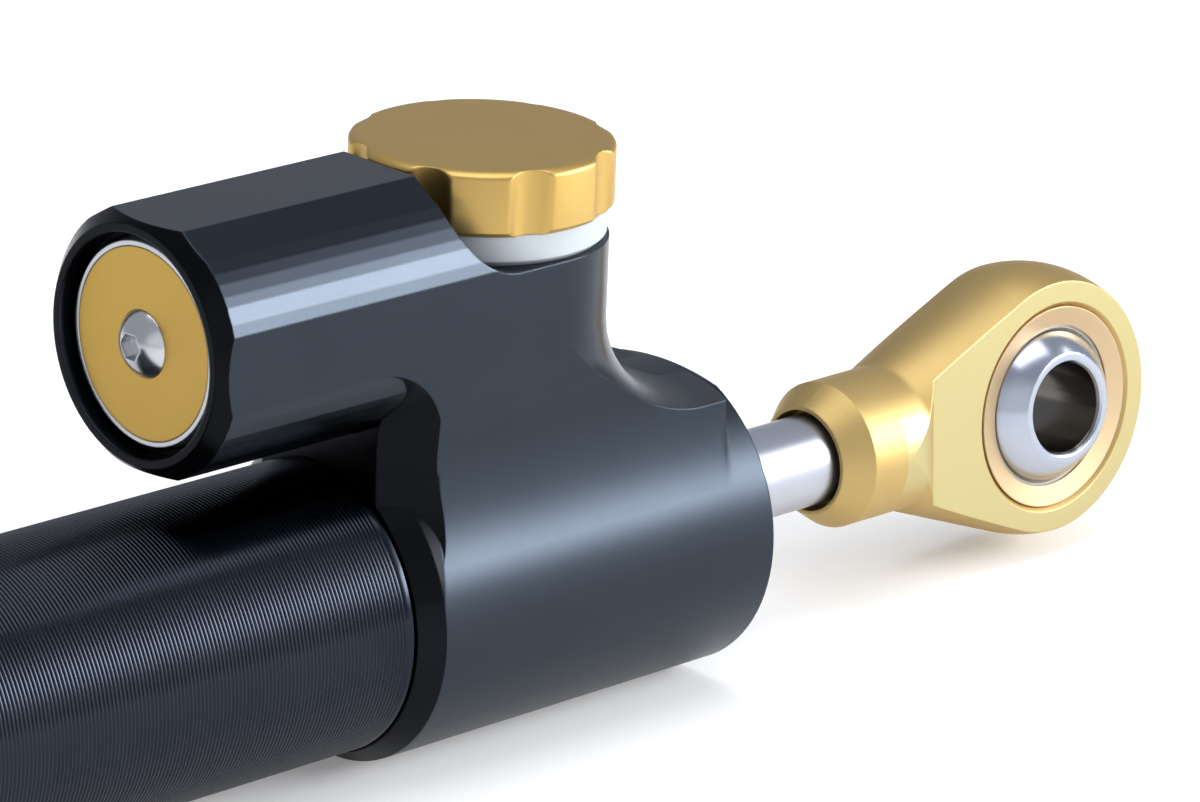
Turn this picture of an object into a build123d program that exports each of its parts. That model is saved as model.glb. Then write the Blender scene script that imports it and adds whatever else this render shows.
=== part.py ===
from build123d import *
from math import atan2, cos, hypot, radians, sin, sqrt, tan
import os

# A motorcycle steering damper, in millimetres. The origin is the centre of the rod end's ball, +X runs
# along the piston rod towards the rod end's tip, and +Z points up, to the side of the adjuster.

# Running and seating clearances
RUNNING_FIT = 0.03
SEAT_FIT = 0.02
BALL_FIT = 0.03
OVERRUN = 5.0

# Piston rod and its travel
ROD_RADIUS = 4.0
ROD_SHOWN = 17.36
ROD_TIP_CHAMFER = 0.6
TRAVEL_IN = 12.0
TRAVEL_OUT = 58.0
TRAVEL_SPARE = 0.5
REAR_ROD_SPARE = 6.0

# Spherical bearing
BORE_RADIUS = 4.0
BORE_CHAMFER = 0.37
BALL_RADIUS = 7.94
BALL_WIDTH = 12.4
LINER_THICKNESS = 0.3
LINER_WIDTH = 7.4
RACE_RADIUS = 9.14
RACE_WIDTH = 8.7
RACE_DISH = 0.5
RACE_LIP_RADIUS = 7.0

# Rod end, turned to a ball with a cone and milled flat. It has turned a little about the rod, and the
# bearing's ball leans a little in the eye.
EYE_RADIUS = 12.3
EYE_THICKNESS = 8.96
EYE_BORE_CHAMFER = 0.43
EYE_TAPER_DEGREES = 20.4
EYE_ROLL_DEGREES = -3.9
BALL_LEAN_DEGREES = -3.67
LEAN_AXIS_DEGREES = 41.5
SHANK_RADIUS = 6.5
SHANK_FILLET_RADIUS = 2.0
SHANK_NOSE_LENGTH = 2.5
SHANK_NOSE_RADIUS = 4.8
SHANK_REACH = 27.5
SHANK_BLEND_LENGTH = 4.6
EYE_FLAT_REACH = 15.8
ROD_RELIEF_RADIUS = 4.5
ROD_RELIEF_DEPTH = 2.4
ROD_THREAD_LENGTH = 10.6

# Head block: the clamped barrel, the valve housing above it and the adjuster's tower
HEAD_RADIUS = 13.685
HEAD_LENGTH = 37.16
COLLAR_LENGTH = 2.02
COLLAR_END_RADIUS = 12.45
TOWER_SETBACK = 22.16
TOWER_RISE = 2.6
VALVE_AXIS_HEIGHT = 26.2
VALVE_OVERHANG = 19.8
VALVE_WIDTH = 21.24
VALVE_HEIGHT = 20.5
VALVE_SIDE_FLAT = 6.4
VALVE_NOSE_CHAMFER = 1.22
VALVE_TUBE_GAP = 0.5
VALVE_FACET_SHARES = (0.108, 0.243, 0.333, 0.438, 0.536, 0.655)
NECK_FLAT_DROP = 8.12
NECK_WAIST_RADIUS = 19.8
NECK_EDGE_CUT = 3.75
NECK_EDGE_RADIUS = 7.0
NECK_EDGE_SLANT_START = 6.5
NECK_EDGE_SLANT_END = 3.2
NECK_EDGE_FOOT_DEGREES = 25.0
NECK_BROW_THICKNESS = 1.0
FLARE_RADIUS = 9.0
PLATEAU_DROP = 0.885
PLATEAU_RADIUS = 21.7
CROWN_RADIUS = 27.5
CROWN_RISE = 0.12
POCKET_CORNER_RADIUS = 6.3
KNOB_POCKET_GAP = 0.38

# Damper tube, inner cylinder and rear cap
TUBE_RADIUS = 12.3
TUBE_WALL = 1.4
TUBE_SPIGOT_WALL = 0.75
TUBE_SPIGOT_LENGTH = 11.0
TUBE_SHOULDER_GAP = 0.15
GASKET_THICKNESS = 0.8
ANNULUS_GAP = 0.9
CYLINDER_WALL = 1.0
REAR_CAP_LENGTH = 8.0
REAR_CAP_SPIGOT_LENGTH = 8.0
REAR_CAP_CHAMFER = 0.6
REAR_CAP_STEP = 0.5
SPANNER_HOLE_RADIUS = 1.0
SPANNER_HOLE_DEPTH = 2.5

# Rod guides, seals, wipers and their clips, alike at both ends
GUIDE_LENGTH = 8.0
GUIDE_SPIGOT_LENGTH = 3.0
SEAL_LENGTH = 4.0
WIPER_LENGTH = 4.0
WIPER_LIP_LENGTH = 1.0
WIPER_LIP_WALL = 0.9
SEAL_GAP = 0.1
CLIP_THICKNESS = 1.0
CLIP_BITE = 0.7
CLIP_WIDTH = 1.9
CLIP_OPENING = 3.0
CLIP_LAND = 1.5

# Piston
PISTON_LENGTH = 12.0
PISTON_BAND_LENGTH = 4.0
PISTON_BAND_THICKNESS = 0.75
PISTON_CLIP_THICKNESS = 0.8
PISTON_CLIP_RADIUS = 5.6
PISTON_CLIP_DEPTH = 0.5
PISTON_CLIP_GAP = 0.05

# Adjuster: knob, washer, gland, spindle, needle and click stop
KNOB_RADIUS = 10.95
KNOB_HEIGHT = 5.43
KNOB_TOP_BEVEL_WIDTH = 1.0
KNOB_TOP_BEVEL_DROP = 0.32
KNOB_FOOT_CHAMFER = 0.4
KNOB_HUB_RADIUS = 6.9
KNOB_HUB_GAP = 0.1
KNOB_FLUTES = 8
KNOB_FLUTE_DEPTH = 0.75
KNOB_FLUTE_RADIUS = 2.78
KNOB_FLUTE_START_DEGREES = 24.0
WASHER_RADIUS = 10.4
WASHER_THICKNESS = 2.6
WASHER_CHAMFER = 0.45
WASHER_HUB_GAP = 0.15
GLAND_RADIUS = 4.0
SPINDLE_RADIUS = 1.9
SPINDLE_GRIP = 3.0
SPINDLE_FOOT_RISE = 1.2
ADJUSTER_RING_WIRE = 0.65
NEEDLE_CHAMBER_RADIUS = 3.0
NEEDLE_CHAMBER_HEIGHT = 6.2
NEEDLE_RADIUS = 2.2
NEEDLE_STEM_RADIUS = 1.0
NEEDLE_STEM_LENGTH = 4.6
NEEDLE_HEAD_GAP = 0.9
NEEDLE_TIP_RADIUS = 0.4
NEEDLE_CONE_RADIUS = 1.6
NEEDLE_CONE_LENGTH = 3.2
NEEDLE_THREAD_PITCH = 1.5
KNOB_HALF_SWEEP_DEGREES = 150.0
SEAT_FLOOR_WALL = 1.3
SEAT_THICKNESS = 1.4
SEAT_BORE_RADIUS = 1.0
PORT_RADIUS = 1.2
CLICKS_PER_TURN = 24
CLICK_BALL_RADIUS = 1.0
CLICK_CIRCLE_RADIUS = 5.7
CLICK_DIMPLE_DEPTH = 0.25
CLICK_SPRING_LENGTH = 3.5
CLICK_SPRING_WALL = 0.3

# Reactive valve and its cap, in the housing above the barrel
CAP_RADIUS = 7.84
CAP_RECESS = 0.97
CAP_DISC_THICKNESS = 2.6
CAP_RING_WIDTH = 0.8
CAP_RING_THICKNESS = 1.9
CAP_MOUTH_GAP = 0.5
CAP_MOUTH_DEPTH = 1.2
CAP_PLUG_LENGTH = 4.0
CAP_SEAL_WIRE = 0.75
SCREW_HEAD_RADIUS = 2.81
SCREW_HEAD_HEIGHT = 1.5
SCREW_RADIUS = 1.5
SCREW_LENGTH = 5.0
SCREW_HEX_WIDTH = 2.0
SCREW_HEX_DEPTH = 1.1
VALVE_BORE_RADIUS = 6.5
VALVE_END_WALL = 1.6
VALVE_SEAT_THICKNESS = 3.0
VALVE_SEAT_BORE_RADIUS = 2.5
PLUNGER_RADIUS = 5.6
PLUNGER_THICKNESS = 2.4
PLUNGER_STEM_RADIUS = 2.2
PLUNGER_STEM_LENGTH = 2.0
PLUNGER_GAP = 0.05
VALVE_SPRING_RADIUS = 4.6
VALVE_SPRING_WALL = 0.9

# Places along the rod, from the ball backwards
shank_face = -SHANK_REACH
head_front = shank_face - ROD_SHOWN
tower_x = head_front - TOWER_SETBACK
collar_front = head_front - HEAD_LENGTH
head_back = collar_front - COLLAR_LENGTH
valve_end = head_back - VALVE_OVERHANG
cap_face = valve_end + CAP_RECESS

# Heights
half_width = VALVE_WIDTH / 2
tower_top = VALVE_AXIS_HEIGHT + TOWER_RISE
knob_foot = tower_top + WASHER_THICKNESS
knob_top = knob_foot + KNOB_HEIGHT
plateau = HEAD_RADIUS - PLATEAU_DROP
pocket_reach = KNOB_RADIUS + KNOB_POCKET_GAP

# Rod guide stack, from the front of the head inwards
stack_depth = CLIP_LAND + CLIP_THICKNESS + SEAT_FIT + WIPER_LENGTH + SEAL_GAP + SEAL_LENGTH + SEAL_GAP
guide_front = head_front - stack_depth
guide_back = guide_front - GUIDE_LENGTH
chamber_front = guide_back - GUIDE_SPIGOT_LENGTH
tube_bore = TUBE_RADIUS - TUBE_WALL
cylinder_bore = tube_bore - ANNULUS_GAP - CYLINDER_WALL
seal_radius = (ROD_RADIUS + tube_bore) / 2
spigot_radius = tube_bore + TUBE_SPIGOT_WALL
tube_front = head_back - TUBE_SHOULDER_GAP
spigot_front = tube_front + TUBE_SPIGOT_LENGTH
socket_floor = spigot_front + GASKET_THICKNESS

# Piston, placed so that the rod has its travel both ways
piston_front = chamber_front - TRAVEL_OUT - TRAVEL_SPARE - PISTON_CLIP_THICKNESS - PISTON_CLIP_GAP
piston_back = piston_front - PISTON_LENGTH
chamber_back = piston_back - TRAVEL_IN - TRAVEL_SPARE - PISTON_CLIP_THICKNESS - PISTON_CLIP_GAP
rear_guide_front = chamber_back - GUIDE_SPIGOT_LENGTH
rear_guide_back = rear_guide_front - GUIDE_LENGTH
tube_back = rear_guide_back - REAR_CAP_SPIGOT_LENGTH
cap_back = tube_back - REAR_CAP_LENGTH
rod_back = cap_back - TRAVEL_OUT - REAR_ROD_SPARE
rod_front = shank_face + ROD_RELIEF_DEPTH + ROD_THREAD_LENGTH

# Adjuster heights, from the barrel's bore upwards
seat_foot = tube_bore + SEAT_FLOOR_WALL
seat_top = seat_foot + SEAT_THICKNESS
gland_foot = seat_top + NEEDLE_CHAMBER_HEIGHT
needle_lift = NEEDLE_THREAD_PITCH * KNOB_HALF_SWEEP_DEGREES / 360
needle_slope = (NEEDLE_CONE_RADIUS - NEEDLE_TIP_RADIUS) / NEEDLE_CONE_LENGTH
hub_foot = tower_top + KNOB_HUB_GAP
click_centre = hub_foot - SEAT_FIT - CLICK_BALL_RADIUS

# Valve places
valve_floor = tower_x - pocket_reach - VALVE_END_WALL
valve_seat_back = valve_floor - VALVE_SEAT_THICKNESS
plug_front = cap_face + CAP_DISC_THICKNESS + CAP_PLUG_LENGTH
ring_radius = CAP_RADIUS + SEAT_FIT + CAP_RING_WIDTH


def spun(points, axis=Axis.X):
    """A closed outline in the XZ plane, turned about an axis."""
    outline = Plane.XZ * make_face(Polyline(*points, close=True))
    return revolve(outline, axis)


def ring(start, end, inner, outer):
    """A ring about the rod's axis."""
    return spun([(start, inner), (end, inner), (end, outer), (start, outer)])


def disc(start, end, radius):
    """A plain cylinder about the rod's axis."""
    return ring(start, end, 0, radius)


def upright(points):
    """A closed outline of (radius, height) points turned about the adjuster's axis."""
    return Pos(tower_x, 0, 0) * spun(points, Axis.Z)


def pillar(low, high, radius):
    """A cylinder about the adjuster's axis."""
    return upright([(0, low), (radius, low), (radius, high), (0, high)])


def cord_ring(centre, radius, wire):
    """An O-ring about the rod's axis, of round section."""
    section = Plane.XZ * Pos(centre, radius) * Circle(wire)
    return revolve(section, Axis.X)


def drilled_hole(radius, half_length, chamfer):
    """A hole along Z with a 45 degree chamfer at each mouth, as a cutting tool."""
    high = half_length + OVERRUN
    wide = radius + chamfer + OVERRUN
    near = half_length - chamfer
    side = [(0, -high), (wide, -high), (radius, -near), (radius, near), (wide, high), (0, high)]
    return spun(side, Axis.Z)


def to_eye(shape):
    """From an axis along Z to the eye's axis, with the eye's turn about the rod."""
    return Rot(X=EYE_ROLL_DEGREES) * Rot(X=90) * shape


def barrel_stock():
    """The round part of the head, with the collar's chamfer and a flatter crown in front of the tower."""
    points = [
        (head_back, 0),
        (head_front, 0),
        (head_front, HEAD_RADIUS),
        (collar_front, HEAD_RADIUS),
        (head_back, COLLAR_END_RADIUS),
    ]
    shelf_align = (Align.MIN, Align.CENTER, Align.MIN)
    shelf = Pos(tower_x, 0, 0) * Box(TOWER_SETBACK + OVERRUN, HEAD_RADIUS * 2, HEAD_RADIUS, align=shelf_align)
    crown_centre = plateau + CROWN_RISE - CROWN_RADIUS
    crown = Pos(0, 0, crown_centre) * disc(head_back, head_front + OVERRUN * 2, CROWN_RADIUS)
    return spun(points) - (shelf - crown)


def valve_section():
    """The housing's section: flats at the top, bottom and sides, and rounds milled in narrow facets."""
    high = VALVE_HEIGHT / 2
    side = VALVE_SIDE_FLAT / 2
    radius = hypot(half_width, side)
    top = sqrt(radius**2 - high**2)
    first = atan2(side, half_width)
    last = atan2(high, top)
    angles = [first + share * (last - first) for share in VALVE_FACET_SHARES]
    quarter = [(half_width, side)]
    quarter += [(radius * cos(angle), radius * sin(angle)) for angle in angles]
    quarter += [(top, high)]
    left = [(-y, z) for y, z in reversed(quarter)]
    upper = quarter + left
    lower = [(-y, -z) for y, z in upper]
    return radius, make_face(Polyline(*(upper + lower), close=True))


def valve_housing():
    """The valve housing, from the adjuster's axis back to its chamfered end, clear of the tube."""
    radius, section = valve_section()
    length = tower_x - valve_end
    prism = extrude(Plane.YZ * section, length)
    nose = [
        (valve_end, 0),
        (tower_x, 0),
        (tower_x, radius + OVERRUN),
        (valve_end + VALVE_NOSE_CHAMFER + OVERRUN, radius + OVERRUN),
        (valve_end, radius - VALVE_NOSE_CHAMFER),
    ]
    housing = Pos(0, 0, VALVE_AXIS_HEIGHT) * (Pos(valve_end, 0, 0) * prism & spun(nose))
    return housing - disc(valve_end - OVERRUN, head_back, TUBE_RADIUS + VALVE_TUBE_GAP)


def waist_centre():
    """Centre of the neck's hollow side, through the end of its flat and tangent to the barrel."""
    flat_end = VALVE_AXIS_HEIGHT - NECK_FLAT_DROP
    reach = hypot(half_width, flat_end)
    outer = HEAD_RADIUS + NECK_WAIST_RADIUS
    along = (outer**2 - NECK_WAIST_RADIUS**2 + reach**2) / (2 * reach)
    across = sqrt(outer**2 - along**2)
    unit_y = half_width / reach
    unit_z = flat_end / reach
    return along * unit_y + across * unit_z, along * unit_z - across * unit_y


def neck_section():
    """The neck's section across the rod: flat sides, then a hollow waist that runs into the barrel."""
    flat_end = VALVE_AXIS_HEIGHT - NECK_FLAT_DROP
    centre_y, centre_z = waist_centre()
    reach = hypot(centre_y, centre_z)
    foot_y = HEAD_RADIUS * centre_y / reach
    foot_z = HEAD_RADIUS * centre_z / reach
    start = atan2(flat_end - centre_z, half_width - centre_y)
    end = atan2(foot_z - centre_z, foot_y - centre_y)
    turn = (end - start) % radians(360)
    middle = start + turn / 2
    belly = (centre_y + NECK_WAIST_RADIUS * cos(middle), centre_z + NECK_WAIST_RADIUS * sin(middle))
    top = (half_width, VALVE_AXIS_HEIGHT)
    edge = (half_width, flat_end)
    foot = (foot_y, foot_z)
    lines = [
        Line(top, edge),
        ThreePointArc(edge, belly, foot),
        Line(foot, (-foot_y, foot_z)),
        ThreePointArc((-foot_y, foot_z), (-belly[0], belly[1]), (-half_width, flat_end)),
        Line((-half_width, flat_end), (-half_width, VALVE_AXIS_HEIGHT)),
        Line((-half_width, VALVE_AXIS_HEIGHT), top),
    ]
    return make_face(lines)


def flare():
    """The tower's foot, a hollow round that spreads to the plateau, as a body of revolution."""
    low = -HEAD_RADIUS
    spread = half_width + FLARE_RADIUS
    high = plateau + FLARE_RADIUS
    near = FLARE_RADIUS * (1 - cos(radians(45)))
    lines = [
        Line((0, low), (PLATEAU_RADIUS, low)),
        Line((PLATEAU_RADIUS, low), (PLATEAU_RADIUS, plateau)),
        Line((PLATEAU_RADIUS, plateau), (spread, plateau)),
        ThreePointArc((spread, plateau), (half_width + near, plateau + near), (half_width, high)),
        Line((half_width, high), (half_width, tower_top)),
        Line((half_width, tower_top), (0, tower_top)),
        Line((0, tower_top), (0, low)),
    ]
    return Pos(tower_x, 0, 0) * revolve(Plane.XZ * make_face(lines), Axis.Z)


def edge_cut_outline(depth):
    """Outline of the neck's rear edge cut, at a depth inside the neck's side."""
    front = head_back + NECK_EDGE_CUT - depth
    top = VALVE_AXIS_HEIGHT - VALVE_SIDE_FLAT / 2 - depth
    radius = NECK_EDGE_RADIUS - depth
    slant_top = VALVE_AXIS_HEIGHT - NECK_FLAT_DROP - NECK_EDGE_SLANT_START
    slant_foot = HEAD_RADIUS * sin(radians(NECK_EDGE_FOOT_DEGREES))
    rear = front - NECK_EDGE_CUT - NECK_EDGE_RADIUS - OVERRUN
    near = radius * (1 - cos(radians(45)))
    fall = slant_top - slant_foot
    sweep_radius = (fall**2 + NECK_EDGE_SLANT_END**2) / (2 * NECK_EDGE_SLANT_END)
    sweep = atan2(fall, sweep_radius - NECK_EDGE_SLANT_END) / 2
    belly = (front - sweep_radius * (1 - cos(sweep)), slant_top - sweep_radius * sin(sweep))
    lines = [
        ThreePointArc((front - NECK_EDGE_SLANT_END, slant_foot), belly, (front, slant_top)),
        Line((front, slant_top), (front, top - radius)),
        ThreePointArc((front, top - radius), (front - near, top - near), (front - radius, top)),
        Line((front - radius, top), (rear, top)),
        Line((rear, top), (rear, slant_foot)),
        Line((rear, slant_foot), (front - NECK_EDGE_SLANT_END, slant_foot)),
    ]
    return Plane.XZ.offset(half_width - depth) * make_face(lines)


def neck_brows():
    """A thin strip at each side that carries the rear edge cut's arch back to the housing's flat."""
    length = NECK_EDGE_RADIUS - NECK_EDGE_CUT
    strip = extrude(Plane.YZ * neck_section(), length) - Box(
        length * 4, (half_width - NECK_BROW_THICKNESS) * 2, VALVE_AXIS_HEIGHT * 4
    )
    return Pos(head_back - length, 0, 0) * strip


def neck_stock():
    """The neck between the barrel and the housing, flared to the front, with its rear edges cut away."""
    length = head_front - head_back + OVERRUN
    prism = Pos(head_back, 0, 0) * extrude(Plane.YZ * neck_section(), length)
    behind = (Align.MAX, Align.CENTER, Align.CENTER)
    rear = Pos(tower_x, 0, 0) * Box(length, VALVE_WIDTH * 2, VALVE_AXIS_HEIGHT * 4, align=behind)
    neck = prism & (rear + flare())
    cut = loft([edge_cut_outline(-NECK_EDGE_CUT), edge_cut_outline(NECK_EDGE_CUT)], ruled=True)
    return neck + neck_brows() - cut - mirror(cut, Plane.XZ)


def knob_pocket():
    """What is milled off above the tower, up to a wall with a round corner, and round the knob."""
    wall = tower_x - pocket_reach
    front = tower_x + pocket_reach + OVERRUN
    high = VALVE_AXIS_HEIGHT + VALVE_HEIGHT
    near = POCKET_CORNER_RADIUS * (1 - cos(radians(45)))
    lines = [
        Line((wall, high), (wall, tower_top + POCKET_CORNER_RADIUS)),
        ThreePointArc(
            (wall, tower_top + POCKET_CORNER_RADIUS),
            (wall + near, tower_top + near),
            (wall + POCKET_CORNER_RADIUS, tower_top),
        ),
        Line((wall + POCKET_CORNER_RADIUS, tower_top), (front, tower_top)),
        Line((front, tower_top), (front, high)),
        Line((front, high), (wall, high)),
    ]
    step = extrude(Plane.XZ * make_face(lines), VALVE_WIDTH, both=True)
    return step + pillar(tower_top, high, pocket_reach)


def rod_stack_bore(mouth, inward):
    """The stepped bore for a clip, a wiper and a seal, from a mouth inwards along X."""
    wall = seal_radius + SEAT_FIT
    groove = mouth + inward * CLIP_LAND
    groove_end = groove + inward * (CLIP_THICKNESS + SEAT_FIT)
    floor = mouth + inward * stack_depth
    outside = mouth - inward * OVERRUN
    return disc(outside, floor, wall) + disc(groove, groove_end, seal_radius + CLIP_BITE + SEAT_FIT)


def head_bores():
    """Everything bored in the head: the barrel, the tube's socket, the valve bore and the adjuster."""
    bore = tube_bore
    barrel = disc(head_back - OVERRUN, guide_front, bore)
    socket = disc(head_back - OVERRUN, socket_floor, spigot_radius + SEAT_FIT)
    front = rod_stack_bore(head_front, -1)
    gland = pillar(gland_foot, tower_top + OVERRUN, GLAND_RADIUS + SEAT_FIT)
    chamber = pillar(seat_foot, gland_foot, NEEDLE_CHAMBER_RADIUS)
    port = pillar(0, seat_foot, PORT_RADIUS)
    click_depth = tower_top - click_centre + CLICK_SPRING_LENGTH
    downwards = (Align.CENTER, Align.CENTER, Align.MAX)
    click = Cylinder(CLICK_BALL_RADIUS + SEAT_FIT, click_depth, align=downwards)
    click = Pos(tower_x + CLICK_CIRCLE_RADIUS, 0, tower_top) * click
    return barrel + socket + front + gland + chamber + port + click


def drilling(start, end):
    """A straight drilling from one point to another, and a radius past it."""
    length = (end - start).length + PORT_RADIUS
    hole = Cylinder(PORT_RADIUS, length, align=(Align.CENTER, Align.CENTER, Align.MIN))
    return Plane(origin=start, z_dir=end - start) * hole


def valve_bores():
    """The housing's bore with its cap seat and mouth, and its drillings to the barrel and the needle."""
    mouth_end = cap_face + CAP_MOUTH_DEPTH
    mouth = disc(valve_end - OVERRUN, mouth_end, ring_radius + CAP_MOUTH_GAP)
    seat = disc(valve_end - OVERRUN, plug_front, ring_radius + SEAT_FIT)
    bore = disc(valve_end - OVERRUN, valve_floor, VALVE_BORE_RADIUS)
    outlet = Vector(valve_seat_back, 0, VALVE_AXIS_HEIGHT - VALVE_BORE_RADIUS)
    barrel_end = Vector(socket_floor + PORT_RADIUS, 0, tube_bore)
    needle_end = Vector(tower_x, 0, seat_top + PORT_RADIUS)
    inlet = Vector(valve_floor, 0, VALVE_AXIS_HEIGHT - VALVE_SEAT_BORE_RADIUS + PORT_RADIUS)
    ports = drilling(outlet, barrel_end) + drilling(needle_end, inlet)
    return Pos(0, 0, VALVE_AXIS_HEIGHT) * (mouth + seat + bore) + ports


def head_block():
    """Barrel, neck, tower and valve housing, machined from one bar."""
    tower = pillar(VALVE_AXIS_HEIGHT - NECK_FLAT_DROP, tower_top, half_width)
    outside = barrel_stock() + neck_stock() + valve_housing() + tower
    outside -= knob_pocket()
    return outside - head_bores() - valve_bores()


def damper_tube():
    """Outer tube, with a thinner spigot that goes into the head."""
    return spun(
        [
            (tube_back, tube_bore),
            (spigot_front, tube_bore),
            (spigot_front, spigot_radius),
            (tube_front, spigot_radius),
            (tube_front, TUBE_RADIUS),
            (tube_back, TUBE_RADIUS),
        ]
    )


def tube_gasket():
    """Flat ring between the tube's end and the floor of its socket."""
    return ring(spigot_front, socket_floor, tube_bore, spigot_radius)


def inner_cylinder():
    """The cylinder that the piston runs in, held between the two rod guides."""
    return ring(rear_guide_front, guide_back, cylinder_bore, cylinder_bore + CYLINDER_WALL)


def rod_guide(face, inward):
    """A rod guide: a thick ring, and a spigot that carries the inner cylinder."""
    shoulder = face + inward * GUIDE_LENGTH
    tip = shoulder + inward * GUIDE_SPIGOT_LENGTH
    bore = ROD_RADIUS + RUNNING_FIT
    return spun(
        [
            (face, bore),
            (tip, bore),
            (tip, cylinder_bore - SEAT_FIT),
            (shoulder, cylinder_bore - SEAT_FIT),
            (shoulder, tube_bore - SEAT_FIT),
            (face, tube_bore - SEAT_FIT),
        ]
    )


def rod_seal(mouth, inward):
    """Rod seal, next to the guide."""
    end = mouth + inward * (stack_depth - SEAL_GAP)
    return ring(end - inward * SEAL_LENGTH, end, ROD_RADIUS + RUNNING_FIT, seal_radius)


def rod_wiper(mouth, inward):
    """Rod wiper, with a thin lip that points outwards."""
    back = mouth + inward * (stack_depth - SEAL_GAP * 2 - SEAL_LENGTH)
    front = back - inward * WIPER_LENGTH
    lip = front - inward * WIPER_LIP_LENGTH
    bore = ROD_RADIUS + RUNNING_FIT
    inside = [(back, bore), (lip, bore), (front, bore + WIPER_LIP_WALL)]
    return spun(inside + [(front, seal_radius), (back, seal_radius)])


def rod_clip(mouth, inward):
    """Internal retaining clip, a ring with an opening at the bottom."""
    start = mouth + inward * CLIP_LAND
    end = start + inward * CLIP_THICKNESS
    outer = seal_radius + CLIP_BITE
    gap = Box(CLIP_THICKNESS * 4, CLIP_OPENING, outer * 2, align=(Align.CENTER, Align.CENTER, Align.MAX))
    return ring(start, end, outer - CLIP_WIDTH, outer) - Pos(start, 0, 0) * gap


def rear_cap():
    """Rear cap: a flange as wide as the tube, a spigot inside it, and the rear rod stack's bore."""
    outer = TUBE_RADIUS - REAR_CAP_STEP
    spigot = tube_bore - SEAT_FIT
    groove_centre = (tube_back + rear_guide_back) / 2
    points = [
        (cap_back, 0),
        (rear_guide_back, 0),
        (rear_guide_back, spigot),
        (tube_back, spigot),
        (tube_back, outer),
        (cap_back + REAR_CAP_CHAMFER, outer),
        (cap_back, outer - REAR_CAP_CHAMFER),
    ]
    wire = CAP_SEAL_WIRE
    groove = ring(groove_centre - wire, groove_centre + wire, spigot - wire * 2, spigot + OVERRUN)
    floor = cap_back + stack_depth
    rod_hole = disc(floor, rear_guide_back + OVERRUN, ROD_RADIUS + WIPER_LIP_WALL)
    cap = spun(points) - (groove & disc(tube_back, rear_guide_back, TUBE_RADIUS))
    cap -= rod_stack_bore(cap_back, 1) + rod_hole
    circle = (outer - REAR_CAP_CHAMFER + seal_radius + CLIP_BITE) / 2
    for side in (-1, 1):
        hole = disc(cap_back - OVERRUN, cap_back + SPANNER_HOLE_DEPTH, SPANNER_HOLE_RADIUS)
        cap -= Pos(0, side * circle, 0) * hole
    return cap


def rear_o_ring():
    """O-ring round the rear cap's spigot."""
    centre = (tube_back + rear_guide_back) / 2
    wire = CAP_SEAL_WIRE - SEAT_FIT
    return cord_ring(centre, tube_bore - SEAT_FIT - CAP_SEAL_WIRE, wire)


def piston():
    """Piston, with a groove for its band."""
    middle = (piston_front + piston_back) / 2
    outer = cylinder_bore - RUNNING_FIT
    half = PISTON_BAND_LENGTH / 2 + SEAT_FIT
    groove = ring(middle - half, middle + half, outer - PISTON_BAND_THICKNESS, outer + OVERRUN)
    return ring(piston_back, piston_front, ROD_RADIUS + RUNNING_FIT, outer) - groove


def piston_band():
    """Slippery band round the piston."""
    middle = (piston_front + piston_back) / 2
    half = PISTON_BAND_LENGTH / 2
    outer = cylinder_bore - SEAT_FIT
    inner = cylinder_bore - RUNNING_FIT - PISTON_BAND_THICKNESS + SEAT_FIT
    return ring(middle - half, middle + half, inner, outer)


def piston_clips():
    """Two clips in the rod's grooves, one at each face of the piston."""
    inner = ROD_RADIUS - PISTON_CLIP_DEPTH + SEAT_FIT
    front = piston_front + PISTON_CLIP_GAP
    back = piston_back - PISTON_CLIP_GAP
    ahead = ring(front, front + PISTON_CLIP_THICKNESS, inner, PISTON_CLIP_RADIUS)
    behind = ring(back - PISTON_CLIP_THICKNESS, back, inner, PISTON_CLIP_RADIUS)
    return Compound(children=[ahead, behind])


def piston_rod():
    """The rod, which passes right through the damper and screws into the rod end."""
    tip = ROD_TIP_CHAMFER
    points = [
        (rod_back, 0),
        (rod_front, 0),
        (rod_front, ROD_RADIUS - tip),
        (rod_front - tip, ROD_RADIUS),
        (rod_back + tip, ROD_RADIUS),
        (rod_back, ROD_RADIUS - tip),
    ]
    rod = spun(points)
    depth = ROD_RADIUS - PISTON_CLIP_DEPTH
    front = piston_front + PISTON_CLIP_GAP
    back = piston_back - PISTON_CLIP_GAP
    rod -= ring(front, front + PISTON_CLIP_THICKNESS, depth, ROD_RADIUS + OVERRUN)
    return rod - ring(back - PISTON_CLIP_THICKNESS, back, depth, ROD_RADIUS + OVERRUN)


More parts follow.
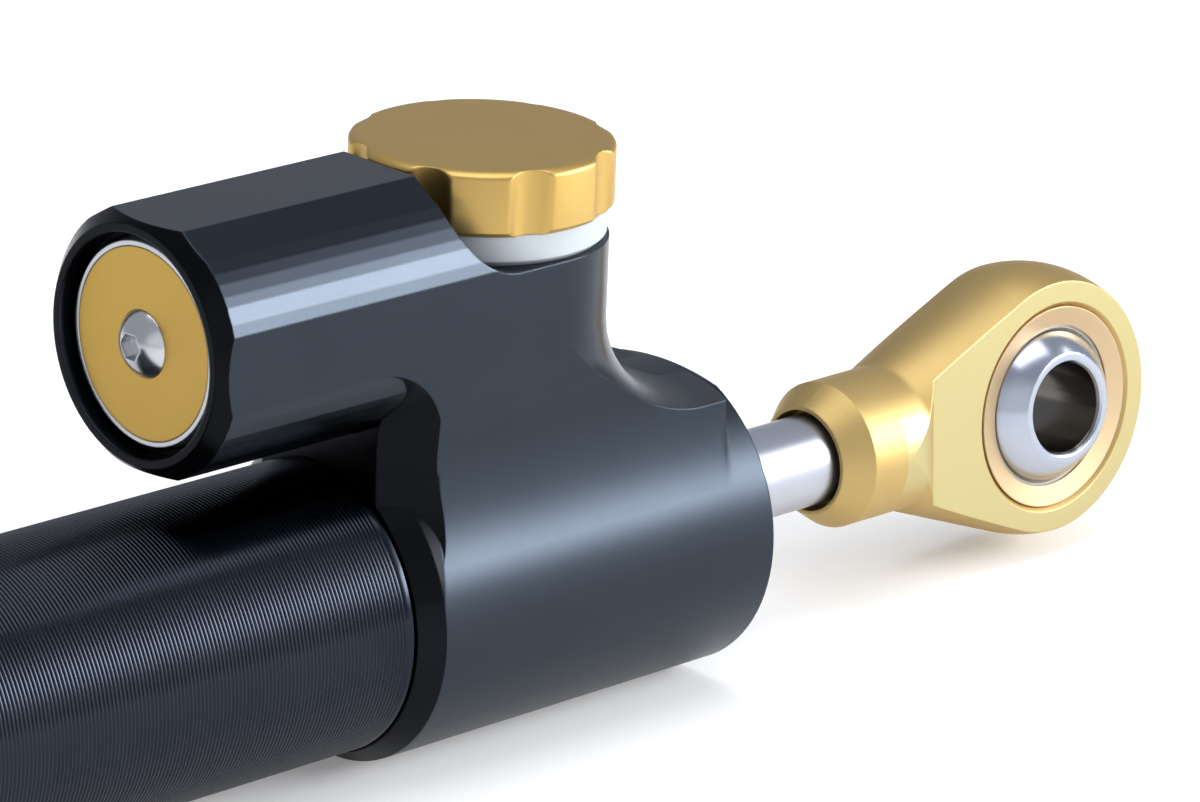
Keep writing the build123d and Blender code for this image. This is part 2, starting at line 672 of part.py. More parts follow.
def rod_end_stock():
    """The turned blank: a nosed shank, a cone that widens from it, and a ball. It lies along X."""
    slope = radians(EYE_TAPER_DEGREES)
    touch = (-EYE_RADIUS * sin(slope), EYE_RADIUS * cos(slope))
    corner_x = touch[0] - (touch[1] - SHANK_RADIUS) / tan(slope)
    reach = SHANK_FILLET_RADIUS * tan(slope / 2)
    fillet_start = (corner_x - reach, SHANK_RADIUS)
    fillet_end = (corner_x + reach * cos(slope), SHANK_RADIUS + reach * sin(slope))
    fillet_middle = (
        corner_x - reach + SHANK_FILLET_RADIUS * sin(slope / 2),
        SHANK_RADIUS + SHANK_FILLET_RADIUS * (1 - cos(slope / 2)),
    )
    half_turn = (radians(90) + slope) / 2
    lines = [
        Line((shank_face, 0), (shank_face, SHANK_NOSE_RADIUS)),
        Line((shank_face, SHANK_NOSE_RADIUS), (shank_face + SHANK_NOSE_LENGTH, SHANK_RADIUS)),
        Line((shank_face + SHANK_NOSE_LENGTH, SHANK_RADIUS), fillet_start),
        ThreePointArc(fillet_start, fillet_middle, fillet_end),
        Line(fillet_end, touch),
        ThreePointArc(touch, (EYE_RADIUS * cos(half_turn), EYE_RADIUS * sin(half_turn)), (EYE_RADIUS, 0)),
        Line((EYE_RADIUS, 0), (shank_face, 0)),
    ]
    return revolve(make_face(lines), Axis.X)


def eye_side():
    """What is milled off one side of the eye, flat and then in a round run-out up to the shank."""
    half = EYE_THICKNESS / 2
    drop = SHANK_RADIUS - half
    radius = (SHANK_BLEND_LENGTH**2 + drop**2) / (2 * drop)
    start_x = -EYE_FLAT_REACH - SHANK_BLEND_LENGTH
    turn = atan2(SHANK_BLEND_LENGTH, radius - drop) / 2
    middle = (start_x + radius * sin(turn), SHANK_RADIUS - radius * (1 - cos(turn)))
    high = EYE_RADIUS + OVERRUN
    lines = [
        ThreePointArc((start_x, SHANK_RADIUS), middle, (-EYE_FLAT_REACH, half)),
        Line((-EYE_FLAT_REACH, half), (high, half)),
        Line((high, half), (high, high)),
        Line((high, high), (start_x, high)),
        Line((start_x, high), (start_x, SHANK_RADIUS)),
    ]
    return extrude(Plane.XZ * make_face(lines), high, both=True)


def rod_end():
    """Rod end: eye, shank and the threaded hole for the rod."""
    side = eye_side()
    body = rod_end_stock() - side - mirror(side, Plane.XY)
    body -= drilled_hole(RACE_RADIUS + SEAT_FIT, EYE_THICKNESS / 2, EYE_BORE_CHAMFER)
    body -= disc(shank_face - OVERRUN, shank_face + ROD_RELIEF_DEPTH, ROD_RELIEF_RADIUS)
    body -= disc(shank_face, rod_front + ROD_TIP_CHAMFER, ROD_RADIUS + SEAT_FIT)
    return to_eye(body)


def bearing_race():
    """Outer race, with dished faces and a spherical inside."""
    half = RACE_WIDTH / 2
    lip = half - RACE_DISH
    points = [(RACE_LIP_RADIUS, -lip), (RACE_RADIUS, -half), (RACE_RADIUS, half), (RACE_LIP_RADIUS, lip)]
    cavity = Sphere(BALL_RADIUS + BALL_FIT * 2 + LINER_THICKNESS)
    return to_eye(spun(points, Axis.Z) - cavity)


def race_liner():
    """Thin liner between the race and the ball."""
    outer = Sphere(BALL_RADIUS + BALL_FIT + LINER_THICKNESS)
    slab = Box(BALL_RADIUS * 4, BALL_RADIUS * 4, LINER_WIDTH)
    return to_eye((outer & slab) - Sphere(BALL_RADIUS + BALL_FIT))


def ball():
    """The ball, with flat ends and a chamfered bore. It leans a little in the eye."""
    slab = Box(BALL_RADIUS * 4, BALL_RADIUS * 4, BALL_WIDTH)
    solid = (Sphere(BALL_RADIUS) & slab) - drilled_hole(BORE_RADIUS, BALL_WIDTH / 2, BORE_CHAMFER)
    lean_axis = Axis((0, 0, 0), (cos(radians(LEAN_AXIS_DEGREES)), sin(radians(LEAN_AXIS_DEGREES)), 0))
    return to_eye(solid.rotate(lean_axis, BALL_LEAN_DEGREES))


def adjuster_knob():
    """Fluted knob with a hub that passes through the washer, and click dimples under the hub."""
    outline = [
        (0, hub_foot),
        (KNOB_HUB_RADIUS, hub_foot),
        (KNOB_HUB_RADIUS, knob_foot),
        (KNOB_RADIUS - KNOB_FOOT_CHAMFER, knob_foot),
        (KNOB_RADIUS, knob_foot + KNOB_FOOT_CHAMFER),
        (KNOB_RADIUS, knob_top - KNOB_TOP_BEVEL_DROP),
        (KNOB_RADIUS - KNOB_TOP_BEVEL_WIDTH, knob_top),
        (0, knob_top),
    ]
    knob = upright(outline)
    centre = KNOB_RADIUS - KNOB_FLUTE_DEPTH + KNOB_FLUTE_RADIUS
    for index in range(KNOB_FLUTES):
        angle = radians(KNOB_FLUTE_START_DEGREES + index * 360 / KNOB_FLUTES)
        place = Pos(tower_x + centre * cos(angle), centre * sin(angle), knob_foot + KNOB_HEIGHT / 2)
        knob -= place * Cylinder(KNOB_FLUTE_RADIUS, KNOB_HEIGHT + OVERRUN)
    knob -= pillar(hub_foot - OVERRUN, hub_foot + SPINDLE_GRIP, SPINDLE_RADIUS + SEAT_FIT)
    dimple_z = hub_foot + CLICK_DIMPLE_DEPTH - CLICK_BALL_RADIUS
    for index in range(CLICKS_PER_TURN):
        angle = radians(index * 360 / CLICKS_PER_TURN)
        spot = (tower_x + CLICK_CIRCLE_RADIUS * cos(angle), CLICK_CIRCLE_RADIUS * sin(angle), dimple_z)
        knob -= Pos(*spot) * Sphere(CLICK_BALL_RADIUS)
    return knob


def knob_washer():
    """Washer between the tower and the knob."""
    inner = KNOB_HUB_RADIUS + WASHER_HUB_GAP
    return upright(
        [
            (inner, tower_top),
            (WASHER_RADIUS - WASHER_CHAMFER, tower_top),
            (WASHER_RADIUS, tower_top + WASHER_CHAMFER),
            (WASHER_RADIUS, knob_foot),
            (inner, knob_foot),
        ]
    )


def gland_nut():
    """Gland screwed into the tower, which guides the spindle and holds its O-ring."""
    wire = ADJUSTER_RING_WIRE
    middle = (gland_foot + tower_top) / 2
    bore = SPINDLE_RADIUS + RUNNING_FIT
    blank = pillar(gland_foot, tower_top, GLAND_RADIUS)
    blank -= pillar(gland_foot - OVERRUN, tower_top + OVERRUN, bore)
    return blank - pillar(middle - wire, middle + wire, bore + wire * 2)


def spindle_o_ring():
    """O-ring round the spindle, inside the gland."""
    wire = ADJUSTER_RING_WIRE - SEAT_FIT
    middle = (gland_foot + tower_top) / 2
    radius = SPINDLE_RADIUS + RUNNING_FIT + ADJUSTER_RING_WIRE
    section = Plane.XZ * Pos(radius, middle) * Circle(wire)
    return Pos(tower_x, 0, 0) * revolve(section, Axis.Z)


def knob_spindle():
    """Spindle fixed in the knob, with a threaded hole that drives the needle's stem."""
    foot = gland_foot + SPINDLE_FOOT_RISE
    stem_top = gland_foot - NEEDLE_HEAD_GAP + NEEDLE_STEM_LENGTH + needle_lift
    hole = pillar(foot - OVERRUN, stem_top + NEEDLE_HEAD_GAP, NEEDLE_STEM_RADIUS + RUNNING_FIT)
    return pillar(foot, hub_foot + SPINDLE_GRIP, SPINDLE_RADIUS) - hole


def needle_valve():
    """Needle: a stem in the spindle, a body in the chamber and a tapered tip in the seat."""
    closed_radius = SEAT_BORE_RADIUS - SEAT_FIT
    rest_radius = closed_radius - needle_lift * needle_slope
    tip = seat_top - (rest_radius - NEEDLE_TIP_RADIUS) / needle_slope
    cone_top = tip + NEEDLE_CONE_LENGTH
    head = gland_foot - NEEDLE_HEAD_GAP
    stem_top = head + NEEDLE_STEM_LENGTH
    return upright(
        [
            (0, tip),
            (NEEDLE_TIP_RADIUS, tip),
            (NEEDLE_CONE_RADIUS, cone_top),
            (NEEDLE_RADIUS, cone_top),
            (NEEDLE_RADIUS, head),
            (NEEDLE_STEM_RADIUS, head),
            (NEEDLE_STEM_RADIUS, stem_top),
            (0, stem_top),
        ]
    )


def needle_seat():
    """Seat at the foot of the needle's chamber."""
    outer = NEEDLE_CHAMBER_RADIUS - SEAT_FIT
    bore = SEAT_BORE_RADIUS
    return upright([(bore, seat_foot), (outer, seat_foot), (outer, seat_top), (bore, seat_top)])


def click_ball():
    """Ball that clicks into the knob's dimples, shown pressed down as between two clicks."""
    return Pos(tower_x + CLICK_CIRCLE_RADIUS, 0, click_centre) * Sphere(CLICK_BALL_RADIUS)


def click_spring():
    """Spring under the click ball, as a plain sleeve."""
    foot = click_centre - CLICK_SPRING_LENGTH
    outer = CLICK_BALL_RADIUS - SEAT_FIT
    inner = outer - CLICK_SPRING_WALL
    seat = sqrt(CLICK_BALL_RADIUS**2 - inner**2)
    top = click_centre - seat - SEAT_FIT
    sleeve = spun([(inner, foot), (outer, foot), (outer, top), (inner, top)], Axis.Z)
    spring = Pos(tower_x + CLICK_CIRCLE_RADIUS, 0, 0) * sleeve
    hollow = Pos(tower_x + CLICK_CIRCLE_RADIUS, 0, click_centre) * Sphere(CLICK_BALL_RADIUS + SEAT_FIT)
    return spring - hollow


def on_valve_axis(shape):
    """From the rod's axis up to the valve's axis."""
    return Pos(0, 0, VALVE_AXIS_HEIGHT) * shape


def valve_cap():
    """Cap: a disc that shows inside its ring, and a plug with an O-ring groove behind it."""
    disc_back = cap_face + CAP_DISC_THICKNESS
    plug = ring_radius
    middle = (disc_back + plug_front) / 2
    wire = CAP_SEAL_WIRE
    cap = disc(cap_face, disc_back, CAP_RADIUS) + disc(disc_back, plug_front, plug)
    cap -= ring(middle - wire, middle + wire, plug - wire * 2, plug + OVERRUN)
    cap -= disc(cap_face - OVERRUN, cap_face + SCREW_LENGTH + SEAT_FIT, SCREW_RADIUS + SEAT_FIT)
    return on_valve_axis(cap)


def cap_ring():
    """Retaining ring round the cap's disc."""
    inner = CAP_RADIUS + SEAT_FIT
    return on_valve_axis(ring(cap_face, cap_face + CAP_RING_THICKNESS, inner, inner + CAP_RING_WIDTH))


def cap_o_ring():
    """O-ring round the cap's plug."""
    middle = cap_face + CAP_DISC_THICKNESS + CAP_PLUG_LENGTH / 2
    return on_valve_axis(cord_ring(middle, ring_radius - CAP_SEAL_WIRE, CAP_SEAL_WIRE - SEAT_FIT))


def cap_screw():
    """Button head screw in the middle of the cap."""
    rise = SCREW_HEAD_HEIGHT
    dome = (SCREW_HEAD_RADIUS**2 + rise**2) / (2 * rise)
    head = Pos(cap_face - rise + dome, 0, 0) * Sphere(dome)
    head &= disc(cap_face - rise - OVERRUN, cap_face, SCREW_HEAD_RADIUS + OVERRUN)
    corner = SCREW_HEX_WIDTH / 2 / cos(radians(30))
    socket = Plane.YZ.offset(cap_face - rise - OVERRUN) * RegularPolygon(corner, 6)
    screw = head + disc(cap_face, cap_face + SCREW_LENGTH, SCREW_RADIUS)
    return on_valve_axis(screw - extrude(socket, SCREW_HEX_DEPTH + OVERRUN))


def valve_seat():
    """Seat ring at the inner end of the valve's bore."""
    outer = VALVE_BORE_RADIUS - SEAT_FIT
    return on_valve_axis(ring(valve_seat_back, valve_floor, VALVE_SEAT_BORE_RADIUS, outer))


def valve_plunger():
    """Plunger that closes the seat, with a stem that guides it."""
    face = valve_seat_back - PLUNGER_GAP
    head = disc(face - PLUNGER_THICKNESS, face, PLUNGER_RADIUS)
    return on_valve_axis(head + disc(face, face + PLUNGER_STEM_LENGTH, PLUNGER_STEM_RADIUS))


def valve_spring():
    """Spring between the cap and the plunger, as a plain sleeve."""
    start = plug_front + PLUNGER_GAP
    end = valve_seat_back - PLUNGER_GAP * 2 - PLUNGER_THICKNESS
    return on_valve_axis(ring(start, end, VALVE_SPRING_RADIUS - VALVE_SPRING_WALL, VALVE_SPRING_RADIUS))


PARTS = {
    "head_block": head_block(),
    "damper_tube": damper_tube(),
    "tube_gasket": tube_gasket(),
    "inner_cylinder": inner_cylinder(),
    "front_guide": rod_guide(guide_front, -1),
    "front_seal": rod_seal(head_front, -1),
    "front_wiper": rod_wiper(head_front, -1),
    "front_clip": rod_clip(head_front, -1),
    "rear_cap": rear_cap(),
    "rear_o_ring": rear_o_ring(),
    "rear_guide": rod_guide(rear_guide_back, 1),
    "rear_seal": rod_seal(cap_back, 1),
    "rear_wiper": rod_wiper(cap_back, 1),
    "rear_clip": rod_clip(cap_back, 1),
    "piston": piston(),
    "piston_band": piston_band(),
    "piston_clips": piston_clips(),
    "piston_rod": piston_rod(),
    "rod_end": rod_end(),
    "bearing_race": bearing_race(),
    "race_liner": race_liner(),
    "ball": ball(),
    "adjuster_knob": adjuster_knob(),
    "knob_washer": knob_washer(),
    "gland_nut": gland_nut(),
    "spindle_o_ring": spindle_o_ring(),
    "knob_spindle": knob_spindle(),
    "needle_valve": needle_valve(),
    "needle_seat": needle_seat(),
    "click_ball": click_ball(),
    "click_spring": click_spring(),
    "valve_cap": valve_cap(),
    "cap_ring": cap_ring(),
    "cap_o_ring": cap_o_ring(),
    "cap_screw": cap_screw(),
    "valve_seat": valve_seat(),
    "valve_plunger": valve_plunger(),
    "valve_spring": valve_spring(),
}

os.makedirs("parts", exist_ok=True)
for name, shape in PARTS.items():
    export_step(shape, f"parts/{name}.step")
    print(f"{name}: {len(shape.solids())} solid(s), {shape.volume:.1f} mm3")
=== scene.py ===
# %% [markdown]
# # A motorcycle steering damper in a small studio
#
# The object is a hydraulic steering damper: a black anodised head clamped on a grooved damper tube, a gold
# adjuster knob on the head's tower, a gold cap in the end of the valve housing, and a chromed piston rod
# that ends in a gold rod end with a spherical bearing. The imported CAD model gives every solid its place.
# This script keeps the solids whose shape is right and gives them their finish, and builds anew the few
# whose surface has more detail than the solid: the grooved tube, the fluted knob, the cap's ring and two
# springs.
#
# Lengths are millimetres wherever a name ends in _mm or _MM, and metres in Blender.

# %% Load the frame
from collections import namedtuple
from math import cos, pi, radians, sin, sqrt

import bmesh
import bpy
from mathutils import Matrix, Vector


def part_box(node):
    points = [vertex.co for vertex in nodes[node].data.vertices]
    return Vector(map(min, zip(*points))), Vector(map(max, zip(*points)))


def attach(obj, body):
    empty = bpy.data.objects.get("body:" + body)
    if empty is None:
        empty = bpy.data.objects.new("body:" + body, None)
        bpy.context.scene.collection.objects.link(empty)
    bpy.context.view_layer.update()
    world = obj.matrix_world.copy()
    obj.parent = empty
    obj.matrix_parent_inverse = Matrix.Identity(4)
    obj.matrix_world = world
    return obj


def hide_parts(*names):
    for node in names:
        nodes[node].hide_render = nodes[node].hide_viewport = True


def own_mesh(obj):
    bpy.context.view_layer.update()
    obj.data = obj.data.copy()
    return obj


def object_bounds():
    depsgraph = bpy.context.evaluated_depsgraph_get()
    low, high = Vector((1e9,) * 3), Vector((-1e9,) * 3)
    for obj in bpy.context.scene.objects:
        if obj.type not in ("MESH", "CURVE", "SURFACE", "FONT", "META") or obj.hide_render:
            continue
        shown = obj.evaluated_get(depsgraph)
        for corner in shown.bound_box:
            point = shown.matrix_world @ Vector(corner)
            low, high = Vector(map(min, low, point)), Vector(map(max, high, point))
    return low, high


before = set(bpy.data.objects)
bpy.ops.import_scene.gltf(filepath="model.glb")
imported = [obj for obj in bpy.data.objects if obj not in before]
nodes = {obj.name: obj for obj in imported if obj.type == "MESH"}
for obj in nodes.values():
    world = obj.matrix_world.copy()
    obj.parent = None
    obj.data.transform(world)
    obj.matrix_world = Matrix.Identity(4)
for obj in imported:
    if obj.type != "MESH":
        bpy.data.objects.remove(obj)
cad_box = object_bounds()
MM = 0.001

# %% [markdown]
# ## The camera
#
# The photograph was taken from the left front, a little above the damper, with a long lens. Its place was
# worked out from edges whose real sizes are known, so the camera stands on a ball round a point near the
# rod's axis: an azimuth, an elevation and a distance. A small roll tips the horizon, as in the photograph.
# The camera could also be tracked to an empty, but three axes written out leave nothing to a solver.

# %% Camera
CAMERA_AZIMUTH = radians(-44.409)
CAMERA_ELEVATION = radians(19.039)
CAMERA_ROLL = radians(2.216)
CAMERA_TARGET = Vector((-52.494, 0.0, 10.787)) * MM
CAMERA_DISTANCE = 569.385 * MM
CAMERA_LENS_MM = 203.262
SENSOR_WIDTH_MM = 36.0

level = cos(CAMERA_ELEVATION)
back = Vector((sin(CAMERA_AZIMUTH) * level, -cos(CAMERA_AZIMUTH) * level, sin(CAMERA_ELEVATION)))
right = (-back).cross(Vector((0, 0, 1))).normalized()
up = back.cross(right).normalized()
rolled_right = right * cos(CAMERA_ROLL) + up * sin(CAMERA_ROLL)
rolled_up = up * cos(CAMERA_ROLL) - right * sin(CAMERA_ROLL)

camera_data = bpy.data.cameras.new("camera")
camera_data.lens = CAMERA_LENS_MM
camera_data.sensor_width = SENSOR_WIDTH_MM
camera_data.sensor_fit = "HORIZONTAL"
camera_data.clip_start = 0.01
camera_data.clip_end = 50.0
camera = bpy.data.objects.new("camera", camera_data)
bpy.context.scene.collection.objects.link(camera)
axes = Matrix((rolled_right, rolled_up, back)).transposed().to_4x4()
camera.matrix_world = Matrix.Translation(CAMERA_TARGET + back * CAMERA_DISTANCE) @ axes
bpy.context.scene.camera = camera
print("camera at", [round(v / MM, 1) for v in camera.location], "mm")

# %% [markdown]
# ## Colours and shader nodes
#
# Colours are written as sRGB hex values, as a paint chart gives them. Shaders work in linear light, so one
# function turns the one into the other. A second function adds a node to a material with its settings and
# its links in one line, which keeps each finish short enough to read as a recipe.
#
# Some finishes change from place to place on one piece. A mask says where: it is a chain of fades, each of
# which lets through what the one before it let through. Painting a mask on the mesh would do the same, but
# these follow from the piece's own lengths.

# %% Helpers for materials
def linear(hex_value):
    """A linear RGBA colour from an sRGB hex value."""
    channels = [int(hex_value[i : i + 2], 16) / 255 for i in (1, 3, 5)]
    return [c / 12.92 if c <= 0.04045 else ((c + 0.055) / 1.055) ** 2.4 for c in channels] + [1.0]


def put(tree, kind, inputs=None, **settings):
    """Adds one node. settings are its own; inputs gives a socket a value, or another node's socket."""
    made = tree.nodes.new(kind)
    for name, value in settings.items():
        setattr(made, name, value)
    for socket, value in (inputs or {}).items():
        if isinstance(value, bpy.types.NodeSocket):
            tree.links.new(value, made.inputs[socket])
        else:
            made.inputs[socket].default_value = value
    return made


def region(tree, *fades):
    """A mask that is 1 where every value is past its fade. A fade is a value, its start and its end."""
    mask = 1.0
    for value, start, end in fades:
        fade = put(
            tree, "ShaderNodeMapRange", {"Value": value, "From Min": start, "From Max": end, "To Max": mask},
        )
        mask = fade.outputs["Result"]
    return mask


def dress(slot, material):
    """Gives every CAD node of one material slot its finish."""
    worn = [name for name, node in nodes.items() if node.data.materials and node.data.materials[0].name == slot]
    for name in worn:
        nodes[name].data.materials[0] = material
    print(slot, "->", material.name, "on", ", ".join(worn))


# %% [markdown]
# ## How a machined surface looks
#
# Nearly everything here was turned or milled and then blasted, anodised, plated or ground. What is common to
# such surfaces is one recipe. The tint drifts a little over about a centimetre, because the bath and the
# handling are never even. The gloss has a grain, the marks of blasting grit or grinding, about 0.05 mm wide
# on the real part; that is too fine for a picture this size, so it is drawn 0.12 mm wide. A very low bump of
# the same grain breaks up mirror images. Edges are never sharp on a real part: the Bevel node bends the
# shading normal over the last tenths of a millimetre, so each edge catches a fine line of light. Rounding
# the mesh itself would do the same with far more faces.

# %% The recipe for a machined surface
GRAIN_MM = 0.12
CLOUD_MM = 9.0
GRAIN_IN_GLOSS = 0.12

Finish = namedtuple("Finish", "material tree shader points normal rough tint edge bump")


def machined(name, darker, lighter, roughness, edge_mm=0.12, dent_mm=0.001, metallic=1.0, grained=GRAIN_IN_GLOSS):
    """A machined surface: two near tints, a mean roughness, the width of its softened edges, the depth of its
    grain in mm, and how far the grain moves its roughness."""
    material = bpy.data.materials.new(name)
    material.use_nodes = True
    tree = material.node_tree
    shader = tree.nodes["Principled BSDF"]
    shader.inputs["Metallic"].default_value = metallic
    coords = put(tree, "ShaderNodeTexCoord")
    points = put(tree, "ShaderNodeMapping", {"Vector": coords.outputs["Object"], "Scale": (1 / MM,) * 3}).outputs[0]
    grain = put(tree, "ShaderNodeTexNoise", {"Vector": points, "Scale": 1 / GRAIN_MM, "Detail": 2.0})
    cloud = put(tree, "ShaderNodeTexNoise", {"Vector": points, "Scale": 1 / CLOUD_MM, "Detail": 3.0})
    tint = put(
        tree, "ShaderNodeMix",
        {"Factor": cloud.outputs["Fac"], "A": linear(darker), "B": linear(lighter)}, data_type="RGBA",
    )
    rough = put(
        tree, "ShaderNodeMath",
        {0: grain.outputs["Fac"], 1: grained, 2: roughness - grained / 2}, operation="MULTIPLY_ADD",
    )
    edge = put(tree, "ShaderNodeBevel", {"Radius": edge_mm * MM}, samples=6)
    bump = put(
        tree, "ShaderNodeBump",
        {"Height": grain.outputs["Fac"], "Distance": dent_mm * MM, "Normal": edge.outputs["Normal"]},
    )
    tree.links.new(tint.outputs["Result"], shader.inputs["Base Color"])
    tree.links.new(rough.outputs[0], shader.inputs["Roughness"])
    tree.links.new(bump.outputs["Normal"], shader.inputs["Normal"])
    return Finish(material, tree, shader, points, coords.outputs["Normal"], rough, tint, edge, bump)


# %% [markdown]
# ## Black anodised aluminium
#
# The head block is machined from bar, blasted very lightly and anodised black. The oxide layer is hard and
# clear with black dye in it, so it mirrors its surroundings weakly and coolly: a metal with a very dark
# blue grey colour. The barrel and its flanks were blasted more than the flats of the tower above them, so
# the height over the rod's axis sets the gloss. The end faces, which look back along the rod, get a painted
# shade: a near black is mixed into their colour, and the piece's own normal finds them. So does a strip of
# the barrel behind the neck, between the housing and the middle of the side, whose front edge sweeps forward
# as it rises and stops short of the flank: painted shade where the housing shades the barrel. Where the flank
# ends near the front, its edge is filed into the barrel, so the Bevel node's radius grows there.

# %% Black anodised head
BLASTED_BELOW_MM = 13.5
MILLED_ABOVE_MM = 15.5
BLASTED_ROUGHNESS = 0.29
MILLED_ROUGHNESS = 0.18
END_FACE_NORMAL = (-0.2, -0.55)
NECK_SWEEP = 0.26
STRIP_EDGE_MM = (-82.7, -82.95)
STRIP_FRONT_MM = (-80.2, -80.4)
STRIP_FOOT_MM = (1.5, 3.5)
STRIP_TOP_MM = (13.6, 13.0)
HEAD_EDGE_MM = 0.25
FILED_EDGE_MM = 1.3
FILED_BACK_MM = (-50.2, -49.2)
FILED_FRONT_MM = (-45.8, -46.4)
FILED_TOP_MM = (12.4, 11.8)

black = machined("black_anodised_aluminium", "#343a42", "#3a4048", MILLED_ROUGHNESS)
place = put(black.tree, "ShaderNodeSeparateXYZ", {0: black.points})
along, height = place.outputs["X"], place.outputs["Z"]
milled = put(
    black.tree, "ShaderNodeMapRange",
    {"Value": height, "From Min": BLASTED_BELOW_MM, "From Max": MILLED_ABOVE_MM,
     "To Min": BLASTED_ROUGHNESS, "To Max": MILLED_ROUGHNESS},
)
black.tree.links.new(milled.outputs["Result"], black.rough.inputs[2])

# Painted shade: the end faces and the strip behind the neck get a near black mixed into their base colour.
facing = put(black.tree, "ShaderNodeSeparateXYZ", {0: black.normal})
shaded_end_face = region(black.tree, (facing.outputs["X"], *END_FACE_NORMAL))
swept = put(black.tree, "ShaderNodeMath", {0: height, 1: -NECK_SWEEP, 2: along}, operation="MULTIPLY_ADD").outputs[0]
neck_shadow_strip = region(
    black.tree, (along, *STRIP_FRONT_MM), (swept, *STRIP_EDGE_MM), (height, *STRIP_FOOT_MM), (height, *STRIP_TOP_MM),
)
painted_shade = put(black.tree, "ShaderNodeMath", {0: shaded_end_face, 1: neck_shadow_strip}, operation="MAXIMUM")
painted_shade_tint = put(
    black.tree, "ShaderNodeMix",
    {"Factor": painted_shade.outputs[0], "A": black.tint.outputs["Result"], "B": linear("#191a1d")}, data_type="RGBA",
)
black.tree.links.new(painted_shade_tint.outputs["Result"], black.shader.inputs["Base Color"])

filed = region(black.tree, (along, *FILED_BACK_MM), (along, *FILED_FRONT_MM), (height, *FILED_TOP_MM))
softened = put(
    black.tree, "ShaderNodeMapRange",
    {"Value": filed, "To Min": HEAD_EDGE_MM * MM, "To Max": FILED_EDGE_MM * MM},
)
black.tree.links.new(softened.outputs["Result"], black.edge.inputs["Radius"])
dress("black_anodised", black.material)

# %% [markdown]
# ## Gold anodised aluminium
#
# The knob and the cap are dyed gold under the same clear oxide, over metal that was turned to a fine finish.
# Gold anodising keeps the metal's mirror and tints it, so it is a metal with a warm base colour. The cap's
# face was turned from its rim to its middle, which leaves rings: noise that is read along the distance from
# the cap's axis alone draws them. The tool's feed there was about 0.05 mm, drawn as rings of 0.15 mm.

# %% Gold knob and cap
CAP_RING_MM = 0.15
valve_low, valve_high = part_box("valve_cap")
valve_height_mm = (valve_low.z + valve_high.z) / 2 / MM

gold = machined("gold_anodised_aluminium", "#caa75f", "#d2b06a", 0.4)
dress("gold_anodised", gold.material)

gold_cap = machined("gold_anodised_turned_cap", "#c9a350", "#d0ab5a", 0.36, dent_mm=0.0004)
off_axis = put(
    gold_cap.tree, "ShaderNodeVectorMath", {0: gold_cap.points, 1: (0, 0, valve_height_mm)}, operation="SUBTRACT",
)
across = put(gold_cap.tree, "ShaderNodeVectorMath", {0: off_axis.outputs[0], 1: (0, 1, 1)}, operation="MULTIPLY")
distance = put(gold_cap.tree, "ShaderNodeVectorMath", {0: across.outputs[0]}, operation="LENGTH")
rings = put(
    gold_cap.tree, "ShaderNodeTexNoise",
    {"W": distance.outputs["Value"], "Scale": 1 / CAP_RING_MM, "Detail": 1.0}, noise_dimensions="1D",
)
gold_cap.tree.links.new(rings.outputs["Fac"], gold_cap.rough.inputs[0])
gold_cap.tree.links.new(rings.outputs["Fac"], gold_cap.bump.inputs["Height"])
dress("gold_cap", gold_cap.material)

# %% [markdown]
# ## The rod end's two golds
#
# The rod end is turned as a ball on a cone, blasted, and then its two sides are milled flat for the bearing.
# After anodising, the milled faces are pale and even and the blasted rest is a darker, duller gold. The
# faces are found by their direction: only they look along the bearing's axis. The normal is read in the
# piece's own space, so the finish stays in place when the rod turns.

# %% Gold rod end
EYE_ROLL = radians(-3.9)
EYE_AXIS = (0.0, cos(EYE_ROLL), sin(EYE_ROLL))
FACE_NORMAL = (0.8, 0.95)
FACE_FROM_MM = -21.0
BLASTED_GLOSS = 0.44
FACE_GLOSS = 0.32

satin = machined("gold_anodised_blasted_rod_end", "#c2a568", "#ccb278", 0.5, edge_mm=0.2)
facing = put(satin.tree, "ShaderNodeVectorMath", {0: satin.normal, 1: EYE_AXIS}, operation="DOT_PRODUCT")
facing = put(satin.tree, "ShaderNodeMath", {0: facing.outputs["Value"]}, operation="ABSOLUTE")
sideways = region(satin.tree, (facing.outputs[0], *FACE_NORMAL))
along = put(satin.tree, "ShaderNodeSeparateXYZ", {0: satin.points})
on_eye = put(satin.tree, "ShaderNodeMath", {0: along.outputs["X"], 1: FACE_FROM_MM}, operation="GREATER_THAN")
face = put(satin.tree, "ShaderNodeMath", {0: sideways, 1: on_eye.outputs[0]}, operation="MULTIPLY")
two_golds = put(
    satin.tree, "ShaderNodeMix",
    {"Factor": face.outputs[0], "A": satin.tint.outputs["Result"], "B": linear("#cabc88")}, data_type="RGBA",
)
gloss = put(
    satin.tree, "ShaderNodeMapRange", {"Value": face.outputs[0], "To Min": BLASTED_GLOSS, "To Max": FACE_GLOSS},
)
satin.tree.links.new(two_golds.outputs["Result"], satin.shader.inputs["Base Color"])
satin.tree.links.new(gloss.outputs["Result"], satin.rough.inputs[2])
dress("gold_rod_end", satin.material)

# %% [markdown]
# ## Hard chrome, ground steel and the bearing
#
# The piston rod is ground between centres, hard chromed and polished. Its marks run round it, so its grain
# is noise that changes only along the rod. The bearing's ball is ground bright, and its bore gets a painted
# shade, a dark brown grey mixed in for the dark it mirrors: the distance from the bore's axis tells the one
# from the other. The race round it is a pale, warm alloy with a dull turned face.

# %% Chrome, ball, race and small metal parts
POLISH_MM = 0.2
BORE_AXIS = (-0.0424, -0.9924, 0.1157)
BORE_EDGE_MM = 4.2

